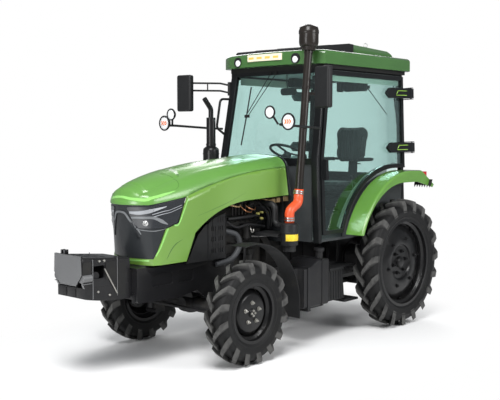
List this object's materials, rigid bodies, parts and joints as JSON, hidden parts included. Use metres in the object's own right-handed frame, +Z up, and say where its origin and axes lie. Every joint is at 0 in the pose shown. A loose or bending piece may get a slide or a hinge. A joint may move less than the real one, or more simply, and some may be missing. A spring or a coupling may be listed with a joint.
{
  "type": "compact four-wheel-drive cab tractor",
  "caption": "Farm tractor with a glazed cab, front weight bracket, tall intake, narrow lugged wheels, opening bonnet and doors, and a rear linkage.",
  "frame": {"origin": "on the ground under the middle of the tractor's length and width", "axes": "+X forward, +Y to the operator's left, +Z up"},
  "size_m": [4.57, 2.0522, 3.1189],
  "materials": {
    "bonnet_green": "gloss",
    "roof_green": "gloss",
    "chassis_black": "satin",
    "cast_black": "satin",
    "engine_metal": "rough",
    "wheel_black": "satin",
    "tyre_rubber": "matt",
    "black_plastic": "grained",
    "mask_plastic": "satin",
    "lamp_clear": "clear",
    "lamp_red": "clear",
    "cab_black": "satin",
    "cab_glass": "tinted",
    "hose_red": "satin",
    "seat_cloth": "woven",
    "bright_steel": "worn"
  },
  "bodies": {
    "chassis": {"front_weight_bracket": "chassis_black", "front_support": "chassis_black", "front_axle": "cast_black", "engine": "engine_metal", "radiator_screens": "black_plastic", "gearbox": "cast_black", "fuel_tanks": "black_plastic", "battery_boxes": "black_plastic", "cab_frame": "cab_black", "cab_floor": "cab_black", "roof": "roof_green", "roof_cover": "black_plastic", "cab_glass": "cab_glass", "rear_fenders": "bonnet_green", "dashboard": "black_plastic", "mirrors": "black_plastic", "exhaust": "chassis_black", "intake_pipe": "black_plastic", "intake_elbow": "hose_red", "air_filter": "black_plastic", "seat_base": "black_plastic", "seat_cushions": "seat_cloth", "lamps": "lamp_clear", "tail_lamps": "lamp_red", "drawbar": "cast_black", "bonnet_surround": "mask_plastic", "roof_light_bar": "lamp_clear"},
    "steering": {"steering_wheel": "black_plastic"},
    "bonnet_body": {"bonnet": "bonnet_green", "nose_mask": "mask_plastic", "headlights": "lamp_clear"},
    "track_rod_body": {"track_rod": "bright_steel"},
    "lift_arm_body": {"lift_arms": "cast_black"},
    "lift_rod_body": {"lift_rods": "bright_steel"},
    "lower_link_body": {"lower_links": "cast_black"},
    "knuckle_left": {"front_knuckle_left": "cast_black", "front_mudguard_left": "black_plastic"},
    "front_wheel_body_left": {"front_wheel_left": "wheel_black", "front_tyre_left": "tyre_rubber"},
    "rear_wheel_body_left": {"rear_wheel_left": "wheel_black", "rear_tyre_left": "tyre_rubber"},
    "door_body_left": {"door_left": "cab_black", "door_glass_left": "cab_glass"},
    "knuckle_right": {"front_knuckle_right": "cast_black", "front_mudguard_right": "black_plastic"},
    "front_wheel_body_right": {"front_wheel_right": "wheel_black", "front_tyre_right": "tyre_rubber"},
    "rear_wheel_body_right": {"rear_wheel_right": "wheel_black", "rear_tyre_right": "tyre_rubber"},
    "door_body_right": {"door_right": "cab_black", "door_glass_right": "cab_glass"}
  },
  "joints": [
    {"name": "steer_left", "type": "hinge", "parent": "chassis", "child": "knuckle_left", "pos_m": [0.87, 0.56, 0.471], "axis": [0, 0, 1], "range_deg": [-36, 36]},
    {"name": "front_wheel_spin_left", "type": "hinge", "parent": "knuckle_left", "child": "front_wheel_body_left", "pos_m": [0.87, 0.72, 0.471], "axis": [0, 1, 0], "continuous": true},
    {"name": "rear_wheel_spin_left", "type": "hinge", "parent": "chassis", "child": "rear_wheel_body_left", "pos_m": [-1.44, 0.824, 0.683], "axis": [0, 1, 0], "continuous": true},
    {"name": "door_left_hinge", "type": "hinge", "parent": "chassis", "child": "door_body_left", "pos_m": [-1.84, 0.775, 1], "axis": [0, -0.0386, 0.9993], "range_deg": [0, 70]},
    {"name": "steer_right", "type": "hinge", "parent": "chassis", "child": "knuckle_right", "pos_m": [0.87, -0.56, 0.471], "axis": [0, 0, 1], "range_deg": [-36, 36]},
    {"name": "front_wheel_spin_right", "type": "hinge", "parent": "knuckle_right", "child": "front_wheel_body_right", "pos_m": [0.87, -0.72, 0.471], "axis": [0, 1, 0], "continuous": true},
    {"name": "rear_wheel_spin_right", "type": "hinge", "parent": "chassis", "child": "rear_wheel_body_right", "pos_m": [-1.44, -0.824, 0.683], "axis": [0, 1, 0], "continuous": true},
    {"name": "door_right_hinge", "type": "hinge", "parent": "chassis", "child": "door_body_right", "pos_m": [-1.84, -0.775, 1], "axis": [0, -0.0386, -0.9993], "range_deg": [0, 70]},
    {"name": "steering_wheel_turn", "type": "hinge", "parent": "chassis", "child": "steering", "pos_m": [-0.568, 0, 1.868], "axis": [-0.4321, 0, 0.9018], "range_deg": [-540, 540]},
    {"name": "track_rod_swing", "type": "hinge", "parent": "knuckle_left", "child": "track_rod_body", "pos_m": [1.07, 0.56, 0.462], "axis": [0, 0, 1], "range_deg": [-36, 36]},
    {"name": "bonnet_hinge", "type": "hinge", "parent": "chassis", "child": "bonnet_body", "pos_m": [-0.044, 0, 1.84], "axis": [0, -1, 0], "range_deg": [0, 50]},
    {"name": "lower_link_lift", "type": "hinge", "parent": "chassis", "child": "lower_link_body", "pos_m": [-1.6, 0, 0.52], "axis": [0, 1, 0], "range_deg": [-16, 33]},
    {"name": "lift_arm_swing", "type": "hinge", "parent": "chassis", "child": "lift_arm_body", "pos_m": [-1.59, 0, 0.87], "axis": [0, 1, 0], "range_deg": [-18.5, 38]},
    {"name": "lift_rod_swing", "type": "hinge", "parent": "lift_arm_body", "child": "lift_rod_body", "pos_m": [-1.91, 0, 0.905], "axis": [0, 1, 0], "range_deg": [-30.5, 15]}
  ],
  "couplings": [
    {"joint": "steer_right", "follows": "steer_left", "ratio": 1},
    {"joint": "track_rod_swing", "follows": "steer_left", "ratio": -1},
    {"joint": "steering_wheel_turn", "follows": "steer_left", "ratio": 15},
    {"joint": "lift_arm_swing", "follows": "lower_link_lift", "ratio": 1.14},
    {"joint": "lift_rod_swing", "follows": "lower_link_lift", "ratio": -0.915}
  ]
}
